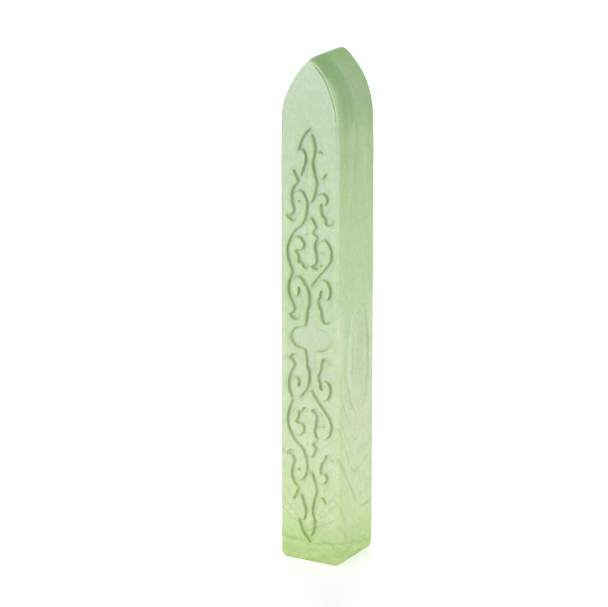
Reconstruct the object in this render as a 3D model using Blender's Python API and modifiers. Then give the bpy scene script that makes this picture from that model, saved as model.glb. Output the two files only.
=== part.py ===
# Sealing-wax stick: one solid casting with a pointed-arch top and a vine ornament sunk into its front face.
# Metres, +Z up the stick, the ornament faces -Y, and the stick stands on its flat base at z = 0.

import math

import bmesh
import bpy
from mathutils import Matrix

MM = 0.001

# Driving dimensions in millimetres
LENGTH = 91.6
WIDTH = 12.0
DEPTH = 12.0
ARCH_RADIUS = 15.0
TIP_RADIUS = 0.8
BASE_CORNER = 0.9
EDGE_ROUND = 0.4
STEP_INSET = 0.55
STEP_HEIGHT = 0.13
CARVE_DEPTH = 0.5
CARVE_MIDDLE = 41.45

# Places that follow from them
HALF_WIDTH = WIDTH / 2
ARCH_CENTRE = ARCH_RADIUS - HALF_WIDTH
TIP_RISE = math.sqrt((ARCH_RADIUS - TIP_RADIUS) ** 2 - ARCH_CENTRE ** 2)
SPRING = LENGTH - TIP_RADIUS - TIP_RISE
TIP_CENTRE = SPRING + TIP_RISE
TIP_ANGLE = math.atan2(TIP_RISE, ARCH_CENTRE)
FRONT = -DEPTH / 2
STEP_FRONT = FRONT + STEP_HEIGHT

# The ornament repeats left to right and top to bottom, so one quarter of its outer edge is drawn:
# distance from the centre line, height above the middle, and 1 where the edge turns a sharp corner.
ARROWHEAD = [
    (0, 37.9, 1), (0.4, 37.6), (1.08, 36.85), (1.77, 35.75), (2.15, 34.85), (2.34, 34.05), (2.6, 33.6, 1),
    (2.0, 33.75), (1.5, 33.7), (1.2, 33.3), (1.06, 32.6), (1.15, 31.75), (1.4, 30.95), (1.65, 30.15),
]
THORN = [
    (2.05, 29.1, 1), (2.48, 29.35), (2.8, 29.85), (3.17, 30.15), (3.38, 29.85), (3.1, 29.3), (2.75, 28.5),
    (2.5, 28.15, 1),
]
UPPER_LEAF = [
    (2.87, 27.72), (3.5, 27.03), (3.86, 26.0), (3.9, 25.05), (3.73, 24.05), (3.46, 23.15), (3.6, 22.4),
    (4.1, 21.97), (4.9, 21.95, 1), (4.6, 21.45), (4.1, 21.05), (3.5, 20.93), (3.0, 21.1), (2.88, 21.65),
    (2.65, 22.15), (2.2, 22.55), (2.05, 23.15), (1.9, 23.85), (1.88, 24.45), (2.12, 24.75), (2.38, 24.68),
    (2.6, 24.5, 1), (2.87, 24.67), (3.12, 25.05), (3.2, 25.45), (3.1, 25.85), (2.8, 26.2), (2.4, 26.45),
]
VINE = [
    (2.0, 26.4), (1.6, 26.15), (1.3, 25.75), (1.03, 25.25), (0.86, 24.75), (0.83, 24.05), (0.89, 23.15),
    (1.1, 22.05), (1.5, 20.95), (1.85, 20.45), (2.5, 19.9), (3.4, 19.05), (3.98, 18.05), (4.48, 17.0),
    (4.74, 15.9), (4.72, 14.75), (4.48, 13.5), (4.07, 12.5), (3.73, 11.75, 1),
]
LOWER_LEAF = [
    (4.05, 10.85), (4.4, 10.05), (4.56, 8.95), (4.51, 7.95), (4.19, 6.9), (3.73, 6.05), (3.37, 5.3),
    (3.42, 4.75), (3.8, 4.3), (4.35, 4.1, 1), (4.1, 3.7), (3.8, 3.33), (3.2, 3.13), (2.6, 3.25), (2.3, 3.6),
    (2.06, 4.35), (2.0, 5.05), (1.88, 5.65), (1.6, 6.25), (1.42, 6.95), (1.56, 7.45), (1.8, 7.75),
    (1.83, 8.25), (1.88, 8.7), (2.12, 9.08), (2.4, 9.15), (2.54, 8.9), (2.43, 8.5), (2.5, 8.05),
    (2.75, 7.4, 1), (3.3, 7.55), (3.67, 8.05), (3.83, 8.75), (3.76, 9.65), (3.52, 10.3), (3.2, 10.7),
    (2.7, 10.95),
]
STEM = [
    (2.25, 10.9), (1.88, 10.7), (1.5, 10.15), (0.97, 9.45), (0.63, 8.8), (0.43, 8.05), (0.37, 7.15),
    (0.38, 6.3), (0.5, 5.75), (0.8, 5.3), (0.85, 4.55), (0.88, 3.95), (1.0, 3.05), (1.2, 2.15, 1),
]
CROSS_ARM = [
    (1.75, 2.03), (2.4, 1.97), (3.1, 1.65), (3.7, 1.0), (4.02, 0.45), (4.1, 0),
]
OUTER_EDGE = ARROWHEAD + THORN + UPPER_LEAF + VINE + LOWER_LEAF + STEM + CROSS_ARM

# Two grounds stand up inside the sunk vine: one half of the edge of each, from its top to its foot.
BUD = [
    (0, 36.65, 1), (0.17, 36.4), (0.45, 35.85), (0.65, 35.15), (0.72, 34.3), (0.69, 33.4), (0.54, 32.75),
    (0.34, 32.25), (0.28, 31.8), (0.33, 31.3), (0.45, 30.75), (0.7, 29.6), (0.91, 29.0), (1.12, 28.5),
    (1.13, 28.0), (1.0, 27.45), (0.8, 26.5), (0.54, 25.5), (0.3, 24.95), (0, 24.65, 1),
]
EYE_TOP = [
    (0, 22.0, 1), (0.4, 21.5), (0.63, 21.0), (0.86, 20.5), (1.12, 20.1, 1), (0.8, 19.95), (0.5, 19.65),
    (0.44, 19.25), (0.65, 18.9), (1.0, 18.75), (1.27, 18.45, 1), (1.09, 18.03), (0.86, 17.6), (0.74, 17.05),
    (0.77, 16.48), (0.89, 15.9), (1.0, 15.33), (1.11, 14.75), (1.1, 14.2), (0.95, 13.78), (0.6, 13.5),
    (0.14, 13.2, 1),
]
INNER_LEAF = [
    (0.45, 12.9), (0.9, 12.7), (1.37, 12.78), (1.62, 13.1), (1.77, 13.4), (1.97, 13.6, 1), (2.32, 13.4),
    (2.48, 13.75), (2.52, 14.25), (2.54, 14.75), (2.75, 15.1), (3.0, 15.4), (2.88, 15.8), (2.45, 15.95),
    (1.9, 16.0), (1.56, 16.35), (1.42, 16.8), (1.47, 17.2), (1.66, 17.55), (1.95, 17.85), (2.3, 18.08),
]
EYE_SIDE = [
    (2.75, 18.15), (3.05, 18.0), (3.33, 17.68), (3.67, 17.25), (3.9, 16.82), (4.05, 16.2), (4.07, 15.6),
    (3.99, 15.04), (3.79, 14.4), (3.5, 13.95), (3.15, 13.5), (2.52, 12.75), (1.78, 11.94), (1.2, 11.19),
    (0.63, 10.44), (0.34, 9.98), (0, 9.4, 1),
]
EYE = EYE_TOP + INNER_LEAF + EYE_SIDE


def arc(centre_x, centre_z, radius, start, end, steps):
    """Points round a circle from one angle to another."""
    angles = [start + (end - start) * step / steps for step in range(steps + 1)]
    return [(centre_x + radius * math.cos(a), centre_z + radius * math.sin(a)) for a in angles]


def stick_outline(inset):
    """Front outline of the stick, moved inwards by the inset: base corners, then the arch over the tip."""
    corner_x = HALF_WIDTH - BASE_CORNER
    corner = BASE_CORNER - inset
    arch = ARCH_RADIUS - inset
    tip = TIP_RADIUS - inset
    points = arc(-corner_x, BASE_CORNER, corner, math.pi, 1.5 * math.pi, 4)
    points += arc(corner_x, BASE_CORNER, corner, 1.5 * math.pi, 2 * math.pi, 4)
    points += arc(-ARCH_CENTRE, SPRING, arch, 0, TIP_ANGLE, 16)
    points += arc(0, TIP_CENTRE, tip, TIP_ANGLE, math.pi - TIP_ANGLE, 4)[1:-1]
    points += arc(ARCH_CENTRE, SPRING, arch, math.pi - TIP_ANGLE, math.pi, 16)
    return points


def mirrored(points, side, up):
    """A drawn edge set out on one side of the centre line and one side of the middle height."""
    places = [(side * point[0], CARVE_MIDDLE + up * point[1]) for point in points]
    return [(x, z, len(point) > 2) for (x, z), point in zip(places, points)]


def outer_loop():
    """The whole outer edge of the ornament from its drawn quarter, going once round."""
    left_up = mirrored(OUTER_EDGE, -1, 1)
    left_down = mirrored(OUTER_EDGE, -1, -1)[-2::-1]
    right_down = mirrored(OUTER_EDGE, 1, -1)[1:]
    right_up = mirrored(OUTER_EDGE, 1, 1)[-2:0:-1]
    return left_up + left_down + right_down + right_up


def ground_loop(points, up):
    """The whole edge of a standing ground from its drawn half."""
    return mirrored(points, -1, up) + mirrored(points, 1, up)[-2:0:-1]


def flat_curve(name, loops, half_thickness):
    """A filled upright plate, drawn in millimetres; each loop holds x, z and a sharp-corner mark."""
    data = bpy.data.curves.new(name, 'CURVE')
    data.dimensions = '2D'
    data.fill_mode = 'BOTH'
    data.extrude = half_thickness
    data.resolution_u = 2
    for loop in loops:
        spline = data.splines.new('BEZIER')
        spline.bezier_points.add(len(loop) - 1)
        spline.use_cyclic_u = True
        for point, (x, z, sharp) in zip(spline.bezier_points, loop):
            point.co = (x, z, 0)
            point.handle_left_type = point.handle_right_type = 'VECTOR' if sharp else 'AUTO'
    curve = bpy.data.objects.new(name, data)
    curve.rotation_euler = (math.pi / 2, 0, 0)
    return curve


def outline_curve(name, points, half_thickness):
    """A plate with straight edges between its outline's points."""
    curve = flat_curve(name, [[(x, z, True) for x, z in points]], half_thickness)
    curve.data.resolution_u = 1
    return curve


def solid_from(curve, collection, middle_y):
    """The curve's plate as a welded mesh object in metres, moved along Y, in the given collection."""
    bpy.context.scene.collection.objects.link(curve)
    curve.location.y = middle_y * MM
    bpy.context.view_layer.update()
    shape = curve.evaluated_get(bpy.context.evaluated_depsgraph_get())
    mesh = bpy.data.meshes.new_from_object(shape)
    work = bmesh.new()
    work.from_mesh(mesh)
    bmesh.ops.remove_doubles(work, verts=work.verts, dist=0.0001)
    bmesh.ops.recalc_face_normals(work, faces=work.faces)
    work.transform(Matrix.Scale(MM, 4))
    work.to_mesh(mesh)
    work.free()
    name = curve.name
    place = curve.matrix_world.copy()
    bpy.data.objects.remove(curve)
    solid = bpy.data.objects.new(name, mesh)
    solid.matrix_world = place
    collection.objects.link(solid)
    return solid


def round_edges(solid, width, segments):
    """Makes each flat side of a plate one face and rounds the square edges."""
    flats = solid.modifiers.new("flat sides", 'DECIMATE')
    flats.decimate_type = 'DISSOLVE'
    flats.angle_limit = math.radians(0.1)
    bevel = solid.modifiers.new("rounded edges", 'BEVEL')
    bevel.width = width * MM
    bevel.segments = segments
    bevel.limit_method = 'ANGLE'
    bevel.angle_limit = math.radians(50)
    bevel.use_clamp_overlap = False


def combine(solid, other, operation):
    """Joins the other solid to this one, or cuts it away."""
    boolean = solid.modifiers.new(other.name, 'BOOLEAN')
    boolean.operation = operation
    boolean.solver = 'EXACT'
    boolean.object = other


def collection_named(name):
    """A new collection in the scene."""
    collection = bpy.data.collections.new(name)
    bpy.context.scene.collection.children.link(collection)
    return collection


def wax_material():
    """Pale pearly green wax."""
    material = bpy.data.materials.new("pearly green wax")
    material.use_nodes = True
    shader = material.node_tree.nodes["Principled BSDF"]
    shader.inputs["Base Color"].default_value = (0.52, 0.70, 0.42, 1)
    shader.inputs["Roughness"].default_value = 0.45
    return material


for old in list(bpy.data.objects):
    bpy.data.objects.remove(old)

parts = collection_named("sealing wax stick")
cutters = collection_named("cutters")

# The stick's body, whose front lies one step behind the face panel
body_half = (DEPTH - STEP_HEIGHT) / 2
stick = solid_from(outline_curve("wax_stick", stick_outline(0), body_half), parts, STEP_FRONT + body_half)
stick.data.materials.append(wax_material())
round_edges(stick, EDGE_ROUND, 3)

# The face panel stands one step proud of the body and reaches back into it
panel_half = (STEP_HEIGHT + EDGE_ROUND) / 2
panel_points = stick_outline(STEP_INSET)
panel = solid_from(outline_curve("face panel", panel_points, panel_half), cutters, FRONT + panel_half)
combine(stick, panel, 'UNION')

# The vine is sunk into the panel; its cutter starts as far in front of the face as it goes into it
loops = [outer_loop()] + [ground_loop(ground, up) for ground in (BUD, EYE) for up in (1, -1)]
vine = solid_from(flat_curve("sunk vine", loops, CARVE_DEPTH), cutters, FRONT)
combine(stick, vine, 'DIFFERENCE')

for cutter in cutters.objects:
    cutter.hide_render = True
    cutter.display_type = 'WIRE'
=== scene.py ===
# Looks of the sealing-wax stick: one casting with a vine sunk into its front face, in marbled green wax.
# The frame's metres and axes are kept: +Z up the stick, the ornament faces -Y, the base stands on z = 0.

import math

import bpy
import numpy as np
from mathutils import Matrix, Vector


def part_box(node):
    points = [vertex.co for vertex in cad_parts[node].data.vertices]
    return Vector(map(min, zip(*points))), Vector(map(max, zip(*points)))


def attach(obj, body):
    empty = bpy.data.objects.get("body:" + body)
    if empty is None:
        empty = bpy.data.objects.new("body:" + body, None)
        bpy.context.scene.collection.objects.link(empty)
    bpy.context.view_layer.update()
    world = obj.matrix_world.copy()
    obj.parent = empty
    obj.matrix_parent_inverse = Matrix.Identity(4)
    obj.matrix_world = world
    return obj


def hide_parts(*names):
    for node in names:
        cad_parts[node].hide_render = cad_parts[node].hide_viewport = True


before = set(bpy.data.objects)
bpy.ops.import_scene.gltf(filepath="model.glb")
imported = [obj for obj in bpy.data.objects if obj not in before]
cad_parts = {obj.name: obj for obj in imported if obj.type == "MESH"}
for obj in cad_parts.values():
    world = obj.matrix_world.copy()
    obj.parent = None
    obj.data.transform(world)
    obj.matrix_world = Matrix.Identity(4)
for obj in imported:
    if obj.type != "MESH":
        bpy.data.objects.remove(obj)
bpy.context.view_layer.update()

MM = 0.001

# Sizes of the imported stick, in millimetres
low, high = (np.array(corner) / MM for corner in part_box("wax_stick"))
HALF_WIDTH = (high[0] - low[0]) / 2
LENGTH = high[2]
FRONT = low[1]
BACK = high[1]

# The stick's outline: two arcs meet in a rounded tip, and the base has rounded corners
ARCH_RADIUS = 15.0
TIP_RADIUS = 1.3
BASE_CORNER = 1.15
ARCH_CENTRE = ARCH_RADIUS - HALF_WIDTH
TIP_RISE = math.sqrt((ARCH_RADIUS - TIP_RADIUS) ** 2 - ARCH_CENTRE ** 2)
SPRING = LENGTH - TIP_RADIUS - TIP_RISE
TIP_ANGLE = math.atan2(TIP_RISE, ARCH_CENTRE)

# The front edge: a raised face panel, a small step down to a ledge, and a soft corner.
# The panel sits a little to the left in the mould, so the step shows on the right: it is highest beside the
# arch and fades down the straight side.
# The corner reaches further back over the arch, and furthest at the tip.
PANEL_INSET = 0.95
PANEL_INSET_ARCH = 1.15
STEP_START = 0.06
STEP_END = 0.3
STEP_DROP_SIDES = 0.03
STEP_DROP_ARCH = 0.24
STEP_SHARE_SIDE = 0.18
CORNER_INSET = 0.62
CORNER_INSET_ARCH = 0.8
CORNER_DEPTH_SIDES = 0.32
CORNER_DEPTH_ARCH = 0.6
CORNER_DEPTH_TIP = 3.6

# The back edge is rounder over the arch and at the base than along the sides, and deepest at the tip
BACK_ROUND = 0.35
BACK_ROUND_ENDS = 0.75
BACK_DEPTH_TIP = 1.6
BACK_RIM = 0.07

# Heights between which the edge's forms come in or go out, and the x between which they change sides
ARCH_BEGINS = (SPRING - 6, SPRING + 3)
WIDER_BEGINS = (SPRING - 8, SPRING + 2)
WIDER_ENDS = (LENGTH - 2.5, LENGTH - 6)
WIDER_ON_RIGHT = (-1, 1)
STEP_BEGINS = (4, 60)
STEP_FULL = (SPRING - 1.5, SPRING + 3)
STEP_ENDS = (LENGTH, LENGTH - 1.2)
STEP_ON_RIGHT = (-0.6, 0.4)
BASE_REACH = 4.0

# The tip's rounding starts this far below the tip, lower down on the left
TIP_REACH_RIGHT = 5.5
TIP_REACH_LEFT = 10.0
TIP_FULL = 0.5
TIP_ON_LEFT = (0.5, -1)

# The flank's shade round the corners: its share at the ledge, and the powers of the turn that it follows
FLANK_AT_LEDGE = 0.08
FLANK_POWER_SIDES = 3
FLANK_POWER_ARCH = 0.5
FLANK_POWER_BACK = 4

# The sunk vine
CARVE_DEPTH = 0.5
RIM_OUTSIDE = 0.1
WALL_WIDTH = 0.55
WALL_HOLLOW = 2.6
VINE_REACH = 1.0
FLOOR_TOLERANCE = 0.01
MICRONS = 1000

# The hand's wobble along the vine: its reach, and the rate, bend and bend's rate of its two waves
HAND_WOBBLE = 0.03
WOBBLE_ACROSS = (3.9, 1.7, 0.9)
WOBBLE_ALONG = (3.1, 1.3, 1.4)

# The vine's painted shades: a dark line along its outline with a halo, and darker floors in close channels
LINE_REACH = 0.13
HALO_REACH = 0.6
HALO_SHARE = 0.5
HALO_ON_FLOOR = 0.5
HALO_FADE = (-0.1, 0.2)
NARROW_REACH = 0.8
NARROW_NONE = 0.8
NARROW_FULL = 0.4

# Shades of the casting, kept with its points for the wax's colour. The sunk and flank shares say where a
# point lies; the others carry painted shade on the vine and on the step, and a painted highlight on the
# ledge outside it
SHADES = ("sunk", "wall_shade", "line", "narrow_shade", "riser_shade", "crest_highlight", "flank")

# Fineness of the mesh: rows up the panel come in bunches, one bunch to each step of the stick's edge
BUNCH = 5
BUNCHES = 151
ROWS = BUNCH * BUNCHES + 1
COLUMNS = 101
STRIPS = 80
ARCH_STEPS = 33
TIP_STEPS = 10
CORNER_STEPS = 8
BASE_STEPS = 6
STEP_RINGS = 6
ROUND_STEPS = 8
SIDE_STEPS = 5
SIDE_MARGIN = 0.02

# How grid nodes are moved: their reach to the vine's lines as a share of the spacing, the least squared
# slope of the distance, and the share of the half width where the shift to the border begins
SNAP_SHARE = 0.45
LEAST_STEEPNESS = 0.3
SHIFT_BEGINS = 0.7


def smooth_step(value, start, end):
    """A soft rise from 0 at start to 1 at end: 3t^2 - 2t^3, with t the share of the way from 0 to 1."""
    t = np.clip((value - start) / (end - start), 0, 1)
    return t * t * (3 - 2 * t)


def between(first, second, share):
    """The value that lies a share of the way from the first to the second."""
    return first + (second - first) * share


def arc(centre, radius, start, end, steps, first, last):
    """Points of a circle's arc and their outward directions; first and last say if the ends are kept."""
    angle = np.linspace(start, end, steps + 1)[0 if first else 1:None if last else -1]
    outward = np.stack([np.cos(angle), np.sin(angle)], 1)
    return np.array(centre) + radius * outward, outward


def straight(start, end, steps, outward):
    """Points spaced evenly along a straight edge, and the edge's outward direction at each of them."""
    share = np.linspace(0, 1, steps + 1)[:, None]
    points = np.array(start) * (1 - share) + np.array(end) * share
    return points, np.tile(np.array(outward, float), (steps + 1, 1))


def stick_edge():
    """The stick's outline in x and z, once round from the foot of the right side, with outward directions.

    Straight sides, two arcs of the arch, the arc of the tip, and the base between its two corner arcs.
    """
    right_tip, left_tip = TIP_ANGLE, math.pi - TIP_ANGLE
    left_side, underside, right_side = math.pi, 1.5 * math.pi, 2 * math.pi
    corner_x = HALF_WIDTH - BASE_CORNER
    foot, shoulder = BASE_CORNER, SPRING
    left_foot, right_foot = (-corner_x, foot), (corner_x, foot)
    stretches = {
        "right": straight((HALF_WIDTH, foot), (HALF_WIDTH, shoulder), BUNCHES, (1, 0)),
        "arch_right": arc((-ARCH_CENTRE, SPRING), ARCH_RADIUS, 0, right_tip, ARCH_STEPS, False, True),
        "tip": arc((0, LENGTH - TIP_RADIUS), TIP_RADIUS, right_tip, left_tip, TIP_STEPS, False, False),
        "arch_left": arc((ARCH_CENTRE, SPRING), ARCH_RADIUS, left_tip, left_side, ARCH_STEPS, True, False),
        "left": straight((-HALF_WIDTH, shoulder), (-HALF_WIDTH, foot), BUNCHES, (-1, 0)),
        "corner_left": arc(left_foot, BASE_CORNER, left_side, underside, CORNER_STEPS, False, False),
        "base": straight((-corner_x, 0), (corner_x, 0), BASE_STEPS, (0, -1)),
        "corner_right": arc(right_foot, BASE_CORNER, underside, right_side, CORNER_STEPS, False, False),
    }
    names = np.concatenate([[name] * len(points) for name, (points, _) in stretches.items()])
    places = np.concatenate([points for points, _ in stretches.values()])
    outward = np.concatenate([directions for _, directions in stretches.values()])
    return names, places, outward


def vine_edge():
    """The vine's outline as straight pieces in x and z, from the CAD node.

    Each side of a triangle on the sunk floor that no second floor triangle shares is a piece of the outline.
    Sides are compared in whole microns, each with its lower end first, by x and then by z.
    """
    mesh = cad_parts["wax_stick"].data
    places = np.empty(3 * len(mesh.vertices))
    corners = np.empty(len(mesh.loops), int)
    mesh.vertices.foreach_get("co", places)
    mesh.loops.foreach_get("vertex_index", corners)
    triangles = places.reshape(-1, 3)[corners].reshape(-1, 3, 3) / MM
    on_floor = np.abs(triangles[:, :, 1] - (FRONT + CARVE_DEPTH)) < FLOOR_TOLERANCE
    floor = triangles[on_floor.all(1)][:, :, [0, 2]]
    sides = np.stack([floor, np.roll(floor, -1, 1)], 2).reshape(-1, 2, 2)
    ends = np.round(sides * MICRONS).astype(int)
    backwards = (ends[:, 0] > ends[:, 1]) @ [2, 1] > (ends[:, 0] < ends[:, 1]) @ [2, 1]
    ends[backwards] = ends[backwards][:, ::-1]
    _, first, uses = np.unique(ends.reshape(-1, 4), axis=0, return_index=True, return_counts=True)
    return sides[first[uses == 1]]


def vine_distance(x, z, edge):
    """Distance of each grid node from the vine's outline, positive over the sunk part, negative outside it.

    The distance is the least over the outline's straight pieces. A node lies over the sunk part when a line
    to its left crosses the outline an odd number of times. Strips of rows keep the arrays small.
    """
    start, end = edge[:, 0], edge[:, 1]
    lowest = np.minimum(start[:, 1], end[:, 1])
    highest = np.maximum(start[:, 1], end[:, 1])
    distance = np.full((len(z), len(x)), -VINE_REACH)
    for rows in np.array_split(np.arange(len(z)), STRIPS):
        near = (highest > z[rows[0]] - VINE_REACH) & (lowest < z[rows[-1]] + VINE_REACH)
        if not near.any():
            continue
        node_x, node_z = (grid[..., None] for grid in np.meshgrid(x, z[rows]))
        start_x, start_z = start[near].T
        run, rise = (end - start)[near].T
        share = ((node_x - start_x) * run + (node_z - start_z) * rise) / (run ** 2 + rise ** 2)
        share = np.clip(share, 0, 1)
        gap = np.hypot(node_x - start_x - share * run, node_z - start_z - share * rise).min(2)
        crosses = (start_z <= node_z) != (start_z + rise <= node_z)
        level_rise = np.where(rise == 0, 1, rise)
        crossing_x = start_x + (node_z - start_z) / level_rise * run
        inside = (crosses & (crossing_x < node_x)).sum(2) % 2 == 1
        distance[rows] = np.where(inside, gap, -gap)
    return np.clip(distance, -VINE_REACH, VINE_REACH)


def softened(values):
    """Each inner node's value mixed with its neighbours' by quarter, half and quarter, up and across."""
    soft = values.copy()
    soft[1:-1] = (values[:-2] + 2 * values[1:-1] + values[2:]) / 4
    rows = soft.copy()
    soft[:, 1:-1] = (rows[:, :-2] + 2 * rows[:, 1:-1] + rows[:, 2:]) / 4
    return soft


def bent_sine(along, across, rate, bend, bend_rate):
    """A sine of one coordinate, bent by a sine of the other: sin(rate a + bend sin(bend_rate b))."""
    return np.sin(rate * along + bend * np.sin(bend_rate * across))


def hand_wobble(x, z):
    """Small waves that make the vine's lines look cut by hand: a bent sine across times one along."""
    node_x, node_z = np.meshgrid(x, z)
    return HAND_WOBBLE * bent_sine(node_x, node_z, *WOBBLE_ACROSS) * bent_sine(node_z, node_x, *WOBBLE_ALONG)


def window_mean(values, half):
    """Mean of the values in a square window around each node, from running sums up and across the grid."""
    window = 2 * half + 1
    for axis in (0, 1):
        width = [(0, 0), (0, 0)]
        width[axis] = (half + 1, half)
        sums = np.cumsum(np.pad(values, width), axis)
        size = values.shape[axis]
        values = (sums.take(range(window, window + size), axis) - sums.take(range(size), axis)) / window
    return values


def right_of_arch(x, height):
    """How much a place lies on the right of the arch, between the straight side and the tip."""
    over_spring = smooth_step(height, *WIDER_BEGINS)
    below_tip = smooth_step(height, *WIDER_ENDS)
    return over_spring * below_tip * smooth_step(x, *WIDER_ON_RIGHT)


def panel_inset(x, height):
    """How far the face panel's border lies inside the stick's outline: further on the right of the arch."""
    return between(PANEL_INSET, PANEL_INSET_ARCH, right_of_arch(x, height))


def panel_grid():
    """The face panel as a grid of x and z whose nodes sink along the vine.

    A node near the rim of the vine's sides, or near the CAD outline inside it, is moved onto that line,
    along the steepest way of the distance. The sides are hollow: with t the share of their width, the sunk
    share is
    1 - (1 - t)^hollow.
    Gives the places and four shades: the sunk share; a painted shade on the vine's sides, strongest at their
    rims; a painted shade as a fine line along the outline with a soft halo that is weaker on the floor; and
    a painted shade on the floors of close channels, stronger where less sunk room lies around them.
    """
    x = np.linspace(PANEL_INSET - HALF_WIDTH, HALF_WIDTH - PANEL_INSET, COLUMNS)
    z = np.linspace(BASE_CORNER, SPRING, ROWS)
    spacing = x[1] - x[0]
    distance = softened(vine_distance(x, z, vine_edge()) + hand_wobble(x, z))
    up, across = np.gradient(distance, z, x)
    steepness = np.maximum(up ** 2 + across ** 2, LEAST_STEEPNESS)
    node_x, node_z = np.meshgrid(x, z)
    near_border = smooth_step(np.abs(node_x), SHIFT_BEGINS * x[-1], x[-1])
    node_x = node_x - np.sign(node_x) * near_border * (panel_inset(node_x, node_z) - PANEL_INSET)
    level = distance.copy()
    for target in (-RIM_OUTSIDE, 0):
        near = np.abs(distance - target) < SNAP_SHARE * spacing
        move = np.where(near, target - distance, 0) / steepness
        node_x = node_x + move * across
        node_z = node_z + move * up
        level = np.where(near, target, level)
    to_foot = 1 - np.clip((level + RIM_OUTSIDE) / WALL_WIDTH, 0, 1)
    sunk = 1 - to_foot ** WALL_HOLLOW
    # The next three shades are painted shade: on the vine's sides, along its outline, and on close channels'
    # floors
    wall_shade = np.where(sunk > 0, to_foot ** (WALL_HOLLOW - 1), 0)
    line = np.exp(-(distance / LINE_REACH) ** 2)
    halo = np.exp(-(distance / HALO_REACH) ** 2)
    halo = halo * between(1, HALO_ON_FLOOR, smooth_step(distance, *HALO_FADE))
    line = between(line, halo, HALO_SHARE)
    around = window_mean(sunk, round(NARROW_REACH / spacing))
    narrow_shade = sunk * np.clip((NARROW_NONE - around) / (NARROW_NONE - NARROW_FULL), 0, 1)
    places = np.stack([node_x, FRONT + CARVE_DEPTH * sunk, node_z], 2)
    return places, {"sunk": sunk, "wall_shade": wall_shade, "line": line, "narrow_shade": narrow_shade}


def edge_profile(places, outward):
    """Rings of points from the panel's border over the front edge, along the sides and round the back edge.

    A ring is the outline moved inwards along its outward directions by an inset, at its own depth. The step,
    the corner and the back rounding change with height, so a ring's depth may differ from point to point.
    Gives the rings and three shades: how much each point lies on the step's rise, which carries a painted
    shade;
    on the ledge just outside the step, which carries a painted highlight; and on the flank.
    """
    x, height = places.T
    at_arch = smooth_step(height, *ARCH_BEGINS)
    tip_reach = between(TIP_REACH_RIGHT, TIP_REACH_LEFT, smooth_step(x, *TIP_ON_LEFT))
    at_tip = smooth_step(height, LENGTH - tip_reach, LENGTH - TIP_FULL)
    at_base = 1 - smooth_step(height, 0, BASE_REACH)
    beside_panel = STEP_SHARE_SIDE * smooth_step(height, *STEP_BEGINS)
    step = beside_panel + (1 - STEP_SHARE_SIDE) * smooth_step(height, *STEP_FULL)
    step = step * smooth_step(height, *STEP_ENDS) * smooth_step(x, *STEP_ON_RIGHT)
    drop = between(STEP_DROP_SIDES, STEP_DROP_ARCH, step)
    ledge = FRONT + drop
    corner = between(CORNER_DEPTH_SIDES, CORNER_DEPTH_ARCH, at_arch)
    corner = corner + (CORNER_DEPTH_TIP - CORNER_DEPTH_ARCH) * at_tip
    corner_inset = between(CORNER_INSET, CORNER_INSET_ARCH, right_of_arch(x, height))
    flank_power = between(FLANK_POWER_SIDES, FLANK_POWER_ARCH, at_arch)
    back_round = between(BACK_ROUND, BACK_ROUND_ENDS, np.maximum(at_arch, at_base))
    back_depth = back_round + (BACK_DEPTH_TIP - BACK_ROUND_ENDS) * at_tip
    side_start = ledge + corner
    side_end = BACK - back_depth
    quarter_turn = np.linspace(0, math.pi / 2, ROUND_STEPS)
    everywhere = np.ones_like(height)
    rings, risers, crests, flanks = [], [], [], []

    def add_ring(inset, depth, riser_shade=0.0, crest_highlight=0.0, flank=0.0):
        """The outline moved inwards by the inset, at the depth."""
        flat = places - (inset * everywhere)[:, None] * outward
        rings.append(np.stack([flat[:, 0], depth * everywhere, flat[:, 1]], 1))
        risers.append(riser_shade * everywhere)
        crests.append(crest_highlight * everywhere)
        flanks.append(flank * everywhere)

    border = panel_inset(x, height)
    add_ring(border - STEP_START / 2, FRONT)
    # The step's rise carries a painted shade, and the ledge at its foot a painted highlight
    for share in np.linspace(0, 1, STEP_RINGS):
        inset = border - between(STEP_START, STEP_END, share)
        riser_shade = math.sin(math.pi * share) * step
        crest_highlight = step if share == 1 else 0.0
        add_ring(inset, FRONT + drop * smooth_step(share, 0, 1), riser_shade=riser_shade, crest_highlight=crest_highlight)
    for angle in quarter_turn:
        turned = math.sin(angle)
        depth = ledge + corner * (1 - math.cos(angle))
        crest_highlight = step if angle == 0 else 0.0
        flank = between(FLANK_AT_LEDGE, 1, turned ** flank_power)
        add_ring(corner_inset * (1 - turned), depth, crest_highlight=crest_highlight, flank=flank)
    for share in [SIDE_MARGIN, *np.linspace(0, 1, SIDE_STEPS + 1)[1:-1], 1 - SIDE_MARGIN]:
        add_ring(0.0, between(side_start, side_end, share), flank=1.0)
    for angle in quarter_turn:
        turned = math.sin(angle)
        inset = back_round * (1 - math.cos(angle))
        add_ring(inset, side_end + back_depth * turned, flank=1 - turned ** FLANK_POWER_BACK)
    add_ring(back_round + BACK_RIM, BACK)
    shades = {"riser_shade": np.array(risers), "crest_highlight": np.array(crests), "flank": np.array(flanks)}
    return np.array(rings), shades


def panel_faces(ids, depth):
    """Two triangles to a cell of the grid, split along the diagonal whose ends differ least in depth."""
    a, b, c, d = (ids[:-1, :-1], ids[:-1, 1:], ids[1:, 1:], ids[1:, :-1])
    flat = depth.ravel()
    rising = np.abs(flat[a] - flat[c]) <= np.abs(flat[b] - flat[d])
    one = np.where(rising[..., None], np.stack([a, b, c], 2), np.stack([a, b, d], 2))
    two = np.where(rising[..., None], np.stack([a, c, d], 2), np.stack([b, c, d], 2))
    return np.concatenate([one.reshape(-1, 3), two.reshape(-1, 3)])


def strip_faces(inner, outer):
    """Four-sided faces between two closed rings with the same number of points."""
    return np.stack([inner, outer, np.roll(outer, -1), np.roll(inner, -1)], 1)


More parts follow.
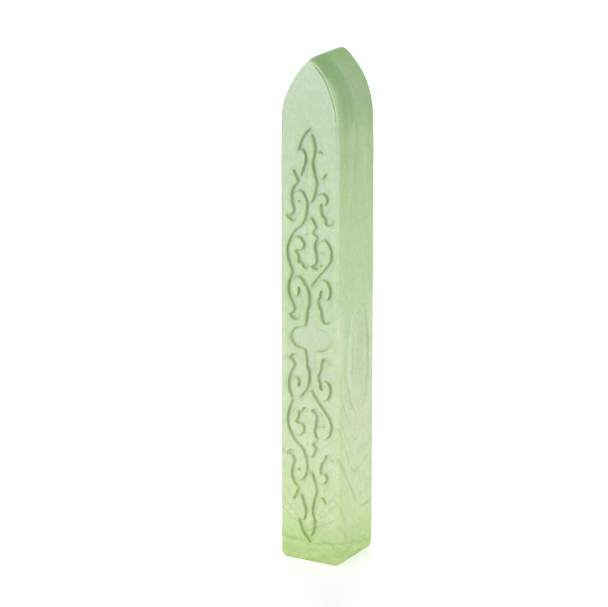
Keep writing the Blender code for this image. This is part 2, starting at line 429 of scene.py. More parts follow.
def bunch_faces(fine, coarse):
    """Faces between a side of the panel and a side of the first ring: a bunch of rows to each ring step."""
    rows = np.arange(BUNCHES)[:, None] * BUNCH + np.arange(BUNCH, -1, -1)[None]
    return np.concatenate([coarse[:-1, None], coarse[1:, None], fine[rows]], 1)


def cast_stick():
    """The whole stick as one closed mesh: sunk panel, flat ends of the panel, edge rings and flat back."""
    panel, panel_shades = panel_grid()
    names, places, outward = stick_edge()
    rings, ring_shades = edge_profile(places, outward)
    at_side = (names == "right") | (names == "left")
    ends = (places - panel_inset(*places.T)[:, None] * outward)[~at_side]
    ends = np.stack([ends[:, 0], np.full(len(ends), FRONT), ends[:, 1]], 1)
    grid_ids = np.arange(ROWS * COLUMNS).reshape(ROWS, COLUMNS)
    border = np.empty(len(names), int)
    border[names == "right"] = grid_ids[::BUNCH, -1]
    border[names == "left"] = grid_ids[::-BUNCH, 0]
    border[~at_side] = grid_ids.size + np.arange(len(ends))
    ring_ids = grid_ids.size + len(ends) + np.arange(len(rings) * len(names)).reshape(len(rings), -1)

    faces = panel_faces(grid_ids, panel[:, :, 1]).tolist()
    bunched = at_side & (names == np.roll(names, -1))
    faces += strip_faces(border, ring_ids[0])[~bunched].tolist()
    faces += bunch_faces(grid_ids[:, -1], ring_ids[0][names == "right"]).tolist()
    faces += bunch_faces(grid_ids[::-1, 0], ring_ids[0][names == "left"]).tolist()
    for inner, outer in zip(ring_ids[:-1], ring_ids[1:]):
        faces += strip_faces(inner, outer).tolist()
    over = np.isin(names, ["arch_right", "tip", "arch_left"])
    under = np.isin(names, ["corner_left", "base", "corner_right"])
    faces.append(grid_ids[-1].tolist() + border[over].tolist())
    faces.append(border[under].tolist() + grid_ids[0, ::-1].tolist())
    faces.append(ring_ids[-1, ::-1].tolist())

    points = np.concatenate([panel.reshape(-1, 3), ends, rings.reshape(-1, 3)])
    mesh = bpy.data.meshes.new("stick_cast")
    mesh.from_pydata((points * MM).tolist(), [], faces)
    mesh.shade_smooth()
    for name in SHADES:
        on_panel = panel_shades.get(name, np.zeros(grid_ids.size)).ravel()
        on_rings = ring_shades.get(name, np.zeros(ring_ids.size)).ravel()
        layer = mesh.attributes.new(name, 'FLOAT', 'POINT')
        layer.data.foreach_set("value", np.concatenate([on_panel, np.zeros(len(ends)), on_rings]))
    mesh.validate()
    stick = bpy.data.objects.new("stick_cast", mesh)
    bpy.context.scene.collection.objects.link(stick)
    return stick


class Nodes:
    """Short ways to place and join the nodes of one material."""

    def __init__(self, tree):
        self.tree = tree

    def add(self, kind, inputs=None, **settings):
        """A node of the given kind; an input is a value or another node's output."""
        node = self.tree.nodes.new(kind)
        for name, value in settings.items():
            setattr(node, name, value)
        for name, value in (inputs or {}).items():
            self.give(node.inputs[name], value)
        return node

    def give(self, socket, value):
        """Joins a socket to another node's output, or sets it to a value."""
        if isinstance(value, bpy.types.NodeSocket):
            self.tree.links.new(value, socket)
        else:
            socket.default_value = value

    def math(self, operation, first, second=0.0):
        """One sum of two numbers."""
        return self.add("ShaderNodeMath", {0: first, 1: second}, operation=operation).outputs[0]

    def product(self, first, *others):
        """Several numbers multiplied together."""
        for other in others:
            first = self.math('MULTIPLY', first, other)
        return first

    def largest(self, first, *others):
        """The largest of several numbers."""
        for other in others:
            first = self.math('MAXIMUM', first, other)
        return first

    def off(self, value, middle):
        """How far a value lies from a middle one, to either side."""
        return self.math('ABSOLUTE', self.math('SUBTRACT', value, middle))

    def split(self, place):
        """The x, y and z of a place."""
        return tuple(self.add("ShaderNodeSeparateXYZ", {0: place}).outputs)

    def vector(self, operation, first, second):
        """One sum of two places; with SCALE the second is a number."""
        inputs = {0: first, "Scale" if operation == 'SCALE' else 1: second}
        return self.add("ShaderNodeVectorMath", inputs, operation=operation).outputs[0]

    def rise(self, value, start, end, bottom=0.0, top=1.0):
        """A soft change from bottom to top while the value goes from start to end."""
        places = {"Value": value, "From Min": start, "From Max": end, "To Min": bottom, "To Max": top}
        return self.add("ShaderNodeMapRange", places, interpolation_type='SMOOTHSTEP').outputs["Result"]

    def noise(self, place, scale, detail=2.0, roughness=0.5):
        """Cloudy noise over a place."""
        inputs = {"Vector": place, "Scale": scale, "Detail": detail, "Roughness": roughness}
        return self.add("ShaderNodeTexNoise", inputs).outputs

    def mix(self, kind, share, first, second):
        """Two colours mixed in the given way."""
        node = self.add("ShaderNodeMix", data_type='RGBA', blend_type=kind)
        for socket, value in zip((node.inputs[0], node.inputs[6], node.inputs[7]), (share, first, second)):
            self.give(socket, value)
        return node.outputs[2]

    def blended(self, colour, other, *shares):
        """A colour mixed with another one, as far as the product of the shares says."""
        return self.mix('MIX', self.product(*shares), colour, other)

    def tinted(self, colour, tint, *shares):
        """A colour multiplied by a tint, as far as the product of the shares says."""
        return self.mix('MULTIPLY', self.product(*shares), colour, tint)

    def ramp(self, value, stops):
        """A colour that follows a value through stops of place and colour."""
        node = self.add("ShaderNodeValToRGB", {"Fac": value})
        band = node.color_ramp
        while len(band.elements) < len(stops):
            band.elements.new(1.0)
        for element, (place, colour) in zip(band.elements, stops):
            element.position = place
            element.color = (*colour, 1)
        return node.outputs["Color"]


# Colours of the wax from the base up, as shares of the stick's length. They are partly the wax's own colour
# and
# partly painted light: the lower part is made lighter to stand in for the brighter light near the base
WAX_AND_LIGHT_BY_HEIGHT = [
    (0.0, (0.56, 0.72, 0.31)),
    (0.03, (0.615, 0.775, 0.39)),
    (0.055, (0.60, 0.76, 0.39)),
    (0.09, (0.675, 0.81, 0.48)),
    (0.24, (0.70, 0.81, 0.56)),
    (0.44, (0.625, 0.755, 0.505)),
    (0.55, (0.61, 0.75, 0.49)),
    (0.66, (0.62, 0.765, 0.525)),
    (0.87, (0.57, 0.705, 0.50)),
    (1.0, (0.585, 0.72, 0.54)),
]
PALE_PEARL = (0.82, 0.85, 0.70, 1)
PALE_GREEN = (0.76, 0.88, 0.72, 1)
CREAM = (0.78, 0.79, 0.55, 1)
BASE_GREEN = (0.40, 0.62, 0.18, 1)
BASE_YELLOW = (0.68, 0.76, 0.32, 1)

# Tints that multiply the wax's colour. The flanks' deepening upwards and the rounded edges' darkening are
# painted shade, and the brightening on the right of the tip is painted light
VEIN_TINT = (0.58, 0.67, 0.43, 1)
EDGE_PAINTED_SHADE = (0.92, 0.92, 0.86, 1)
FLANK_PAINTED_SHADE = (0.84, 0.95, 0.72, 1)
STREAK_TINT = (0.84, 0.91, 0.82, 1)
TIP_PAINTED_LIGHT = (1.06, 1.21, 1.0, 1)
CORNER_TINT = (0.92, 0.98, 0.82, 1)

# Tints of the casting's shades: sunk floors are greyer. The rest are painted shade and a painted highlight:
# close channels' floors darker, the vine's sides olive, the line and halo along the vine deeper, the step
# deeper, and the ledge outside the step paler
SHADE_TINTS = {
    "sunk": (1.015, 0.99, 1.11, 1),
    "narrow_shade": (0.87, 0.915, 0.92, 1),
    "wall_shade": (0.99, 1.0, 0.77, 1),
    "line": (0.86, 0.90, 0.75, 1),
    "riser_shade": (0.70, 0.77, 0.53, 1),
    "crest_highlight": (1.22, 1.24, 1.28, 1),
}

# How strongly three of them show low and high on the vine
SHADE_HEIGHTS = (10.0, 75.0)
SHADE_STRENGTHS = {"sunk": (0.2, 1.5), "wall_shade": (1.2, 1.4), "line": (0.6, 1.4)}

# The x, to either side, between which the front's layers give way to the sides', and the front half's depths
SIDE_BEGINS = (4.6, 5.8)
FRONT_HALF = (0.0, FRONT)

# Noise in the wax: the span that holds most of its values, and scales, details and roughnesses
NOISE_SPAN = (0.3, 0.7)
WANDER_NOISE = (0.14, 1.5)
FADE_NOISE = (0.33, 2.0)
LAYER_NOISE = (1.0, 3.0, 0.6)
STREAK_NOISE = (1.0, 3.0, 0.5)
CLOUD_NOISE = (0.5, 4.0, 0.6)
SPECK_NOISE = (2.4, 4.0, 0.7)
DENT_NOISE = (0.35, 3.0)

# Mottling by the clouds and specks, and the finish of the surface
CLOUD_MOTTLE = (0.965, 1.025)
SPECK_MOTTLE = (-0.06, 0.06)
WAX_ROUGHNESS = (0.4, 0.52)
FLANK_DULLER = 0.35
SPECK_BUMP = 0.06
BUMP_STRENGTH = 0.5
BUMP_HEIGHT = 0.08
LIGHT_REACH = (0.9, 1.0, 0.7)
LIGHT_REACH_SCALE = 0.55
WAX_GLOSS = 0.4

# Layers of the poured wax hang like bowls: middle of the foot, then both slopes and the foot's roundness
SAG_MIDDLE_X = -0.4
SAG_MIDDLE_Y = 0.3
SIDE_SAG = (1.85, 0.5, 1.6)
FRONT_SAG = (1.6, 0.85, 0.8)
FRONT_LEAN = 0.83
POUR_WANDER = 4.0
LAYERS_BEGIN = (3.0, 7.0)
LAYERS_END = (33.0, 24.0)
LAYERS_LOWER_ON_FRONT = 15.0
LAYERS_FRONT_SHARE = 0.6

# Bands and veins of the layers: quickness across and along them, values of the noise where they show, share
BAND_QUICKNESS = (0.38, 0.09)
PALE_BANDS = (0.5, 0.68)
PALE_BANDS_SHARE = 0.5
DEEP_BANDS = (0.48, 0.34)
DEEP_BANDS_SHARE = 0.2
VEIN_QUICKNESS = (0.6, 0.12)
VEIN_WIDTH = (0.05, 0.008)
VEIN_SHOWS = (0.42, 0.6)
VEIN_SHARE = 0.15

# Strokes are the layers that show most: a deep line with cream wax over it.
# A stroke's look is the share of its deep line, the share of the cream, and the cream's height over it.
STROKE_WANDER = 1.4
STROKE_SHOWS = (0.26, 0.5)
STROKE_CORE = 0.05
CREAM_CORE = 0.1

# Strokes on the sides: level and middle of the foot, slopes up to the front and to the back, roundness of
# the foot, strength, and how much of it is left towards the back
SIDE_STROKES = (
    (22.3, -0.3, 1.95, 2.0, 0.6, 0.75, 0.15),
    (16.8, -1.2, 2.0, 0.5, 1.0, 0.75, 0.8),
    (9.9, 1.0, 1.75, 0.25, 2.5, 0.85, 1.0),
    (7.9, -3.5, 1.6, -0.45, 1.5, 0.5, 0.6),
    (5.0, -3.0, 1.0, -0.4, 2.0, 0.4, 1.0),
)
SIDE_STROKES_BEGIN = (2.0, 5.0)
SIDE_STROKES_END = (34.0, 28.0)
SIDE_STROKE_NARROWS = (-3.0, 0.5)
SIDE_STROKE_WIDTHS = (0.9, 0.45)
SIDE_STROKE_WEAKENS = (0.3, 2.0)
SIDE_STROKE_LOOK = (0.46, 0.4, 0.9)

# Strokes on the front: level of the foot, slopes up to the left and to the right, the x where a stroke
# begins, and strength
FRONT_STROKES = (
    (7.0, 1.0, 0.92, -9.0, 1.0),
    (7.4, 1.6, 1.3, -9.0, 1.0),
    (6.1, 0.7, 0.56, -9.0, 1.0),
    (32.6, 0.0, -1.9, 3.2, 0.6),
)
FRONT_STROKES_BEGIN = (4.0, 6.0)
FRONT_STROKE_ROUNDNESS = 0.8
FRONT_STROKE_START = 1.0
FRONT_STROKE_WIDTH = 0.5
FRONT_STROKE_LOOK = (0.27, 0.3, 0.8)

# On the side faces an upright lens of folded wax stands over the layers
LENS_MIDDLE_Y = 0.95
LENS_MIDDLE_Z = 37.5
LENS_ABOVE = 10.0
LENS_BELOW = 10.5
LENS_HALF_WIDTH = 3.6
LENS_LEAST_NARROWING = 0.05
LENS_ENDS = (1.06, 0.88)
LENS_BREAKS = (0.3, 0.5)
LENS_BROKEN_SHARE = 0.45
WAVER = 0.3

# Pale wax in front of the lens and behind it: colour, depths where it comes in, heights where it begins and
# where it ends, and share
LENS_SURROUNDS = (
    (PALE_PEARL, (-3.2, -6.0), (33.0, 41.0), (50.0, 44.0), 0.45),
    (PALE_GREEN, (4.0, 5.2), (24.0, 34.0), (52.0, 45.0), 0.4),
)

# The cream foot of the lens is an ellipse
LENS_FOOT_Y = 1.8
LENS_FOOT_Z = 27.0
LENS_FOOT_HALF_WIDTH = 3.2
LENS_FOOT_HALF_HEIGHT = 6.5
LENS_FOOT_RIM = (1.0, 0.1)
LENS_FOOT_SHARE = 0.45

# Folds of the lens: quickness across and along, how far out they reach, noise values where they show, share
FOLD_QUICKNESS = (2.4, 0.06)
FOLD_REACH = (1.6, 0.9)
PALE_FOLDS = (0.52, 0.68)
PALE_FOLDS_SHARE = 0.35
DEEP_FOLDS = (0.48, 0.36)
DEEP_FOLDS_SHARE = 0.3

# Lines of the lens: place as a share of the half width, half thickness and core, heights between which the
# line comes or goes, and share. The last deep one, the back border, shows over the lens's whole height.
LENS_DEEP_LINES = (
    (-1.42, (0.26, 0.04), (42.0, 38.0), 0.15),
    (-1.22, (0.2, 0.03), (33.5, 31.0), 0.4),
    (0.83, (0.24, 0.03), (60.0, 50.0), 0.32),
)
LENS_PALE_LINE = (-1.0, (0.27, 0.03), (30.0, 33.0), 0.65)

# The patchy base: stretch of its patches, top, noise values where green and yellow show, and shares
PATCH_STRETCH = (0.3, 0.3, 0.65)
PATCHES_END = (6.5, 2.5)
GREEN_PATCHES = (0.5, 0.64)
GREEN_PATCHES_SHARE = 0.4
YELLOW_PATCHES = (0.5, 0.36)
YELLOW_PATCHES_SHARE = 0.35

# Deep green layers near the base, as level, half thickness and strength, and how they lean and hang
BASE_LAYERS = ((1.8, 0.5, 0.6), (-0.4, 1.1, 0.17))
BASE_LAYER_LEAN = 0.25
BASE_LAYER_HANG = 0.21
BASE_LAYER_CORE = 0.05
BASE_LAYER_SHOWS = (0.3, 0.5)

# Where the flanks' tints come in or go out, by depth, height and x, and their shares
CORNER_TINT_DEPTH = (-3.5, -6.0)
CORNER_TINT_BEGINS = (6.0, 15.0)
CORNER_TINT_ENDS = (40.0, 24.0)
FLANK_TINT_HEIGHT = (34.0, 0.8 * LENGTH)
FLANK_TINT_SHARES = (0.3, 1.0)
TIP_TINT_HEIGHT = (0.92 * LENGTH, LENGTH)
TIP_TINT_ON_RIGHT = (-0.8, 0.3)
SHOULDER_BEGINS = (SPRING - 3, SPRING + 1)
SHOULDER_ENDS = (SPRING + 6, SPRING + 2)
SHOULDER_SHARE = 0.55
ARCH_BAND_DEPTH = -3.2
ARCH_BAND_REACH = (2.6, 0.8)
ARCH_BAND_BEGINS = (SPRING - 3, SPRING + 3)
EDGE_TINT_HEIGHT = (25.0, 60.0)
EDGE_TINT_SHARES = (1.2, 4.0)

# Streaks of the upper flanks: stretch, heights and shares between which they grow, noise values, share
STREAK_STRETCH = (0.2, 0.55, 0.1)
STREAK_HEIGHT = (SPRING - 30, SPRING)
STREAK_SHARES = (0.1, 0.8)
DEEP_STREAKS = (0.52, 0.36)
DEEP_STREAKS_SHARE = 0.6
PALE_STREAKS = (0.52, 0.7)
PALE_STREAKS_SHARE = 0.25


def wandering(n, place, reach):
    """The place pushed about by slow noise, as the wax wandered when it was poured; gives x, y and z."""
    push = n.vector('SUBTRACT', n.noise(place, *WANDER_NOISE)["Color"], (0.5, 0.5, 0.5))
    pushed = n.vector('ADD', place, n.vector('SCALE', push, reach))
    return n.split(pushed)


def layer_noise(n, level, along, quickness):
    """Noise that follows the layers: quick across their level, slow along them."""
    across_rate, along_rate = quickness
    across = n.math('MULTIPLY', level, across_rate)
    along = n.math('MULTIPLY', along, along_rate)
    place = n.add("ShaderNodeCombineXYZ", {"X": across, "Y": along}).outputs[0]
    return n.noise(place, *LAYER_NOISE)["Fac"]


def hang(n, offset, to_front, to_back, roundness):
    """A bowl's height over an offset: one slope up to the front and one to the back of a rounded foot.

    Half the sum of the slopes times (root of (offset^2 + roundness^2) - roundness), less half their
    difference times the offset.
    """
    root = n.math('SQRT', n.math('ADD', n.product(offset, offset), roundness ** 2))
    even = n.math('MULTIPLY', n.math('SUBTRACT', root, roundness), (to_front + to_back) / 2)
    return n.math('SUBTRACT', even, n.math('MULTIPLY', offset, (to_front - to_back) / 2))


def waver(n, fade):
    """A small push to either side that follows the slow noise."""
    return n.rise(fade, *NOISE_SPAN, -WAVER, WAVER)


def stroke(n, colour, over, kept, width, deep, cream, cream_over):
    """One stroke: cream wax a little over its level, and a deep line where the height over it is nothing."""
    colour = n.blended(colour, CREAM, n.rise(n.off(over, cream_over), cream_over, CREAM_CORE), kept, cream)
    return n.tinted(colour, VEIN_TINT, n.rise(n.off(over, 0.0), width, STROKE_CORE), kept, deep)


def sagging_layers(n, colour, poured, side, front, fade):
    """Soft pale and deep bands, and thin veins, along bowl-shaped layers in the lower part.

    A layer's level is z less its hang: a rounded V across the front and back faces, and across the side
    faces a bowl that leans down to the back. The layers show higher up on the sides than on the front.
    """
    x, y, z = poured
    on_sides = hang(n, n.math('SUBTRACT', y, SAG_MIDDLE_Y), *SIDE_SAG)
    on_front = hang(n, n.math('SUBTRACT', x, SAG_MIDDLE_X), *FRONT_SAG)
    on_front = n.math('SUBTRACT', on_front, n.math('MULTIPLY', y, FRONT_LEAN))
    level = n.math('SUBTRACT', z, n.rise(side, 0.0, 1.0, on_front, on_sides))
    top = n.math('ADD', z, n.math('MULTIPLY', front, LAYERS_LOWER_ON_FRONT))
    weaker = n.rise(front, 0.0, 1.0, 1.0, LAYERS_FRONT_SHARE)
    shown = n.product(n.rise(top, *LAYERS_END), n.rise(z, *LAYERS_BEGIN), weaker)
    bands = layer_noise(n, level, n.math('ADD', x, y), BAND_QUICKNESS)
    colour = n.blended(colour, CREAM, n.rise(bands, *PALE_BANDS), shown, PALE_BANDS_SHARE)
    colour = n.tinted(colour, VEIN_TINT, n.rise(bands, *DEEP_BANDS), shown, DEEP_BANDS_SHARE)
    veins = layer_noise(n, level, n.math('SUBTRACT', x, y), VEIN_QUICKNESS)
    thin = n.rise(n.off(veins, 0.5), *VEIN_WIDTH)
    return n.tinted(colour, VEIN_TINT, thin, shown, n.rise(fade, *VEIN_SHOWS), VEIN_SHARE)


def clear_strokes(n, colour, place, height, side, front, fade):
    """The layers that show most, as strokes on the sides and on the front.

    A stroke's level is the level of its foot plus its hang. The side strokes are wider towards the front
    and weaker towards the back.
    """
    x, y, z = wandering(n, place, STROKE_WANDER)
    clear = n.rise(fade, *STROKE_SHOWS)
    for foot, middle, to_front, to_back, roundness, strength, behind in SIDE_STROKES:
        offset = n.math('SUBTRACT', y, middle)
        level = n.math('ADD', hang(n, offset, to_front, to_back, roundness), foot)
        over = n.math('SUBTRACT', z, level)
        width = n.rise(offset, *SIDE_STROKE_NARROWS, *SIDE_STROKE_WIDTHS)
        kept = n.product(side, clear, n.rise(height, *SIDE_STROKES_END), n.rise(height, *SIDE_STROKES_BEGIN))
        kept = n.product(kept, n.rise(offset, *SIDE_STROKE_WEAKENS, strength, strength * behind))
        colour = stroke(n, colour, over, kept, width, *SIDE_STROKE_LOOK)
    for foot, to_left, to_right, begins, strength in FRONT_STROKES:
        offset = n.math('SUBTRACT', x, SAG_MIDDLE_X)
        level = n.math('ADD', hang(n, offset, to_left, to_right, FRONT_STROKE_ROUNDNESS), foot)
        over = n.math('SUBTRACT', z, level)
        begun = n.rise(x, begins, begins + FRONT_STROKE_START)
        kept = n.product(front, clear, begun, n.rise(height, *FRONT_STROKES_BEGIN), strength)
        colour = stroke(n, colour, over, kept, FRONT_STROKE_WIDTH, *FRONT_STROKE_LOOK)
    return colour


def folded_lens(n, colour, place, side, fade):
    """Wax folded into an upright lens on the side faces, with pale wax on both sides of it.

    The lens is two half ellipses, above and below its middle. A fold runs where the offset from the middle
    line stays the same share of the half width at that height. The front border is pale with deep lines
    outside it, the back border is deep, and cream wax fills the foot.
    """
    _, straight_y, z = n.split(place)
    y = n.math('ADD', straight_y, waver(n, fade))
    across = n.math('DIVIDE', n.math('SUBTRACT', y, LENS_MIDDLE_Y), LENS_HALF_WIDTH)
    climb = n.math('SUBTRACT', z, LENS_MIDDLE_Z)
    away = n.largest(n.math('DIVIDE', climb, LENS_ABOVE), n.math('DIVIDE', climb, -LENS_BELOW))
    narrowing = n.largest(n.math('SUBTRACT', 1.0, n.product(away, away)), LENS_LEAST_NARROWING)
    share = n.math('DIVIDE', across, n.math('SQRT', narrowing))
    shown = n.product(side, n.rise(away, *LENS_ENDS))
    broken = n.product(shown, n.rise(fade, *LENS_BREAKS, LENS_BROKEN_SHARE, 1.0))

    for pale, comes_in, begins, ends, strength in LENS_SURROUNDS:
        at_height = n.product(n.rise(z, *begins), n.rise(z, *ends))
        colour = n.blended(colour, pale, side, n.rise(y, *comes_in), at_height, strength)
    foot_y = n.math('DIVIDE', n.math('SUBTRACT', y, LENS_FOOT_Y), LENS_FOOT_HALF_WIDTH)
    foot_z = n.math('DIVIDE', n.math('SUBTRACT', z, LENS_FOOT_Z), LENS_FOOT_HALF_HEIGHT)
    from_foot = n.math('ADD', n.product(foot_y, foot_y), n.product(foot_z, foot_z))
    colour = n.blended(colour, CREAM, n.rise(from_foot, *LENS_FOOT_RIM), side, LENS_FOOT_SHARE)

    folds = layer_noise(n, share, z, FOLD_QUICKNESS)
    around = n.product(n.rise(n.math('ABSOLUTE', share), *FOLD_REACH), shown)
    colour = n.blended(colour, PALE_PEARL, n.rise(folds, *PALE_FOLDS), around, PALE_FOLDS_SHARE)
    colour = n.tinted(colour, VEIN_TINT, n.rise(folds, *DEEP_FOLDS), around, DEEP_FOLDS_SHARE)

    def line(middle, thickness, heights, strength):
        """How much a line of the lens shows: near its own share of the half width, at its own heights."""
        return n.product(n.rise(n.off(share, middle), *thickness), n.rise(z, *heights), broken, strength)

    for deep_line in LENS_DEEP_LINES:
        colour = n.tinted(colour, VEIN_TINT, line(*deep_line))
    return n.blended(colour, PALE_GREEN, line(*LENS_PALE_LINE))


def patchy_base(n, colour, place, fade):
    """The lowest wax is patchy yellow and deep green, with deep green layers that hang between the corners.

    A layer's level is z + lean y - hang |x|, so it hangs lowest half way across and falls to the back.
    """
    x, y, z = n.split(place)
    patches = n.noise(n.vector('MULTIPLY', place, PATCH_STRETCH), *LAYER_NOISE)["Fac"]
    near_base = n.rise(z, *PATCHES_END)
    green, yellow = n.rise(patches, *GREEN_PATCHES), n.rise(patches, *YELLOW_PATCHES)
    colour = n.blended(colour, BASE_GREEN, green, near_base, GREEN_PATCHES_SHARE)
    colour = n.blended(colour, BASE_YELLOW, yellow, near_base, YELLOW_PATCHES_SHARE)
    leaning = n.math('MULTIPLY', y, BASE_LAYER_LEAN)
    hanging = n.math('MULTIPLY', n.math('ABSOLUTE', x), BASE_LAYER_HANG)
    level = n.math('ADD', n.math('ADD', z, n.math('SUBTRACT', leaning, hanging)), waver(n, fade))
    for layer, half, strength in BASE_LAYERS:
        near_layer = n.rise(n.off(level, layer), half, BASE_LAYER_CORE)
        colour = n.blended(colour, BASE_GREEN, near_layer, n.rise(patches, *BASE_LAYER_SHOWS), strength)
    return colour


def flank_shade(n, colour, place, flank, height):
    """The flanks' tints, some of them painted light and shade.

    They are deeper along the lower front corner, deeper and greener towards the top as painted shade,
    brighter on the right of the tip as painted light, and deeper again on the shoulder and in a band behind
    the arch's corner.
    Streaks grow towards the arch. Rounded edges are darkened as painted shade: the edge's share is flank (1
    - flank), so it is greatest half way round a rounded edge.
    """
    x, depth, _ = n.split(place)
    low_corner = n.product(n.rise(height, *CORNER_TINT_BEGINS), n.rise(height, *CORNER_TINT_ENDS))
    colour = n.tinted(colour, CORNER_TINT, flank, n.rise(depth, *CORNER_TINT_DEPTH), low_corner)
    # Painted shade: the flanks grow deeper and greener towards the top
    colour = n.tinted(colour, FLANK_PAINTED_SHADE, flank, n.rise(height, *FLANK_TINT_HEIGHT, *FLANK_TINT_SHARES))
    # Painted light: the right flank is brighter towards the tip
    at_tip = n.product(n.rise(height, *TIP_TINT_HEIGHT), n.rise(x, *TIP_TINT_ON_RIGHT))
    colour = n.tinted(colour, TIP_PAINTED_LIGHT, flank, at_tip)
    shoulder = n.product(n.rise(height, *SHOULDER_BEGINS), n.rise(height, *SHOULDER_ENDS), SHOULDER_SHARE)
    colour = n.tinted(colour, STREAK_TINT, flank, shoulder)
    in_band = n.rise(n.off(depth, ARCH_BAND_DEPTH), *ARCH_BAND_REACH)
    colour = n.tinted(colour, STREAK_TINT, in_band, n.rise(height, *ARCH_BAND_BEGINS), flank)
    streaks = n.noise(n.vector('MULTIPLY', place, STREAK_STRETCH), *STREAK_NOISE)["Fac"]
    streaked = n.product(flank, n.rise(height, *STREAK_HEIGHT, *STREAK_SHARES))
    colour = n.tinted(colour, STREAK_TINT, n.rise(streaks, *DEEP_STREAKS), streaked, DEEP_STREAKS_SHARE)
    colour = n.blended(colour, PALE_PEARL, n.rise(streaks, *PALE_STREAKS), streaked, PALE_STREAKS_SHARE)
    # Painted shade: rounded edges are darker half way round, more so higher up
    half_round = n.product(flank, n.math('SUBTRACT', 1.0, flank))
    return n.tinted(colour, EDGE_PAINTED_SHADE, half_round, n.rise(height, *EDGE_TINT_HEIGHT, *EDGE_TINT_SHARES))


def new_nodes(tree):
    """An emptied node tree, with the short ways to fill it."""
    tree.nodes.clear()
    return Nodes(tree)


def wax_material():
    """Pearly green wax: colour by height, poured layers and folds lower down, streaks and mottling."""
    material = bpy.data.materials.new("marbled_green_wax")
    material.use_nodes = True
    n = new_nodes(material.node_tree)
    place = n.vector('SCALE', n.add("ShaderNodeTexCoord").outputs["Object"], 1 / MM)
    straight_x, _, height = n.split(place)
    shades = {name: n.add("ShaderNodeAttribute", attribute_name=name).outputs["Fac"] for name in SHADES}
    poured = wandering(n, place, POUR_WANDER)
    _, poured_y, poured_z = poured
    fade = n.noise(place, *FADE_NOISE)["Fac"]
    side = n.rise(n.math('ABSOLUTE', straight_x), *SIDE_BEGINS)
    front = n.product(n.rise(poured_y, *FRONT_HALF), n.rise(side, 1.0, 0.0))

    colour = n.ramp(n.math('DIVIDE', poured_z, LENGTH), WAX_AND_LIGHT_BY_HEIGHT)
    colour = sagging_layers(n, colour, poured, side, front, fade)
    colour = clear_strokes(n, colour, place, poured_z, side, front, fade)
    colour = folded_lens(n, colour, place, side, fade)
    colour = patchy_base(n, colour, place, fade)
    # The flanks' tints include painted light and shade
    colour = flank_shade(n, colour, place, shades["flank"], height)

    # Mottling all over, slow and fine
    cloud = n.noise(place, *CLOUD_NOISE)["Fac"]
    speck = n.noise(place, *SPECK_NOISE)["Fac"]
    slow = n.rise(cloud, *NOISE_SPAN, *CLOUD_MOTTLE)
    fine = n.rise(speck, *NOISE_SPAN, *SPECK_MOTTLE)
    mottle = n.math('ADD', slow, fine)
    channels = {"Red": mottle, "Green": mottle, "Blue": mottle}
    colour = n.mix('MULTIPLY', 1.0, colour, n.add("ShaderNodeCombineColor", channels).outputs[0])

    # The casting's shades: greyer sunk floors, and painted shade and a painted highlight on the vine, step
    # and ledge
    for shade, strengths in SHADE_STRENGTHS.items():
        shades[shade] = n.product(shades[shade], n.rise(height, *SHADE_HEIGHTS, *strengths))
    for shade, tint in SHADE_TINTS.items():
        colour = n.tinted(colour, tint, shades[shade])

    # The finish: flanks are duller than the face, and the surface is slightly uneven
    duller = n.product(shades["flank"], FLANK_DULLER)
    rough = n.math('ADD', n.rise(cloud, *NOISE_SPAN, *WAX_ROUGHNESS), duller)
    uneven = n.math('ADD', n.noise(place, *DENT_NOISE)["Fac"], n.math('MULTIPLY', speck, SPECK_BUMP))
    bump_inputs = {"Height": uneven, "Strength": BUMP_STRENGTH, "Distance": BUMP_HEIGHT * MM}
    bump = n.add("ShaderNodeBump", bump_inputs).outputs["Normal"]
    shader = n.add("ShaderNodeBsdfPrincipled", {
        "Base Color": colour,
        "Roughness": rough,
        "Normal": bump,
        "Subsurface Weight": 1.0,
        "Subsurface Radius": LIGHT_REACH,
        "Subsurface Scale": LIGHT_REACH_SCALE * MM,
        "Specular IOR Level": WAX_GLOSS,
    }, subsurface_method='RANDOM_WALK')
    n.add("ShaderNodeOutputMaterial", {"Surface": shader.outputs[0]})
    return material


# The studio: a white floor, soft light from all round and three lamps, in metres.
# The floor's lift is the light that the camera sees added to it, near the stick and away from it.
FLOOR_HALF = 3.0
FLOOR_PAINT = (0.8, 0.8, 0.8, 1)
FLOOR_LIFT_REACH = (0.06, 0.4)
FLOOR_LIFT = (0.6, 1.0)
WORLD_LIGHT = 0.2
STICK_MIDDLE = (0, 0, LENGTH / 2 * MM)
STICK_FOOT = (0, 0, 0)

# Lamps: name, place, target, size, power in watts, and spread in degrees
LAMPS = (
    ("key", (-0.40, -0.78, 0.08), STICK_MIDDLE, 0.5, 8.0, 180),
    ("back", (-0.45, 0.70, 0.55), STICK_MIDDLE, 0.5, 5.5, 180),
    ("fill", (0.36, -0.02, 0.04), STICK_FOOT, 0.16, 0.155, 70),
)

# The camera looks at the stick from the right and above; its focus is in pixels of the image's width
IMAGE_WIDTH = 608
SENSOR_WIDTH = 36.0
CAMERA_PLACE = (0.2843, -0.4996, 0.2169)
CAMERA_YAW = math.radians(30.05)
CAMERA_DOWN = math.radians(16.52)
CAMERA_FOCUS = 3410.5


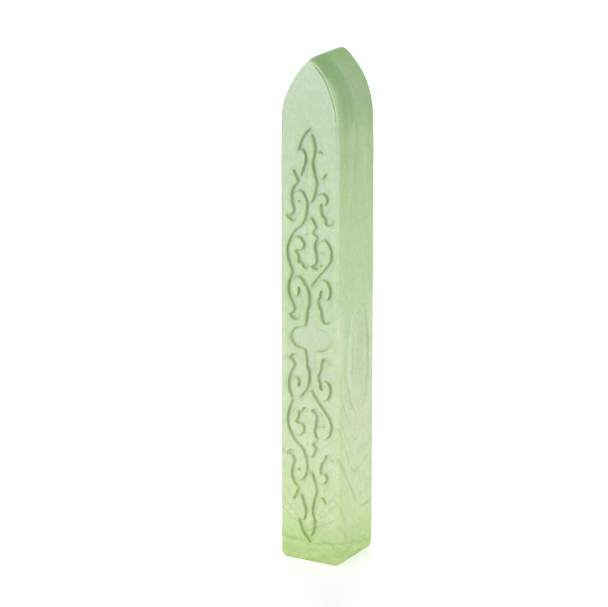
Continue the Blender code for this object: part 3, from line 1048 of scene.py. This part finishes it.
def floor_material():
    """White floor that keeps the stick's soft shadow; the camera sees it lifted to white further away."""
    material = bpy.data.materials.new("white_floor")
    material.use_nodes = True
    n = new_nodes(material.node_tree)
    rays = n.add("ShaderNodeLightPath").outputs
    seen = n.largest(rays["Is Camera Ray"], rays["Is Glossy Ray"], rays["Is Transmission Ray"])
    paint = n.add("ShaderNodeBsdfDiffuse", {"Color": FLOOR_PAINT}).outputs[0]
    place = n.add("ShaderNodeTexCoord").outputs["Object"]
    away = n.add("ShaderNodeVectorMath", {0: place}, operation='LENGTH').outputs["Value"]
    lift = n.rise(away, *FLOOR_LIFT_REACH, *FLOOR_LIFT)
    glow = n.add("ShaderNodeEmission", {"Strength": n.product(seen, lift)}).outputs[0]
    both = n.add("ShaderNodeAddShader", {0: paint, 1: glow}).outputs[0]
    n.add("ShaderNodeOutputMaterial", {"Surface": both})
    return material


def white_floor():
    """A plain square floor under the stick."""
    half = FLOOR_HALF
    corners = [(-half, -half, 0), (half, -half, 0), (half, half, 0), (-half, half, 0)]
    mesh = bpy.data.meshes.new("floor")
    mesh.from_pydata(corners, [], [(0, 1, 2, 3)])
    mesh.materials.append(floor_material())
    floor = bpy.data.objects.new("floor", mesh)
    bpy.context.scene.collection.objects.link(floor)
    return floor


def studio_world():
    """A plain soft light from all round; what the camera sees directly is white."""
    world = bpy.data.worlds.new("studio")
    world.use_nodes = True
    n = new_nodes(world.node_tree)
    rays = n.add("ShaderNodeLightPath").outputs
    seen = n.largest(rays["Is Camera Ray"], rays["Is Transmission Ray"])
    levels = {"Value": seen, "To Min": WORLD_LIGHT, "To Max": 1.0}
    strength = n.add("ShaderNodeMapRange", levels).outputs["Result"]
    background = n.add("ShaderNodeBackground", {"Color": (1, 1, 1, 1), "Strength": strength}).outputs[0]
    n.add("ShaderNodeOutputWorld", {"Surface": background})
    bpy.context.scene.world = world


def soft_lamp(name, place, target, size, power, spread):
    """A square lamp at a place, turned to the target; a spread below 180 degrees narrows its light."""
    data = bpy.data.lights.new(name, 'AREA')
    data.shape = 'SQUARE'
    data.size = size
    data.energy = power
    data.spread = math.radians(spread)
    lamp = bpy.data.objects.new(name, data)
    lamp.location = place
    lamp.rotation_euler = (Vector(target) - Vector(place)).to_track_quat('-Z', 'Y').to_euler()
    lamp.visible_camera = False
    bpy.context.scene.collection.objects.link(lamp)


def photo_camera():
    """A camera at its place, turned by its yaw to the left and tilted down."""
    data = bpy.data.cameras.new("camera")
    data.sensor_fit = 'HORIZONTAL'
    data.sensor_width = SENSOR_WIDTH
    data.lens = SENSOR_WIDTH * CAMERA_FOCUS / IMAGE_WIDTH
    camera = bpy.data.objects.new("camera", data)
    camera.location = CAMERA_PLACE
    level = math.cos(CAMERA_DOWN)
    ahead = Vector((-math.sin(CAMERA_YAW) * level, math.cos(CAMERA_YAW) * level, -math.sin(CAMERA_DOWN)))
    camera.rotation_euler = ahead.to_track_quat('-Z', 'Y').to_euler()
    bpy.context.scene.collection.objects.link(camera)
    bpy.context.scene.camera = camera


stick = cast_stick()
stick.data.materials.append(wax_material())
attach(stick, "root")
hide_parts("wax_stick")

white_floor()
studio_world()
for lamp_values in LAMPS:
    soft_lamp(*lamp_values)
photo_camera()
bpy.context.scene.view_settings.view_transform = 'Standard'
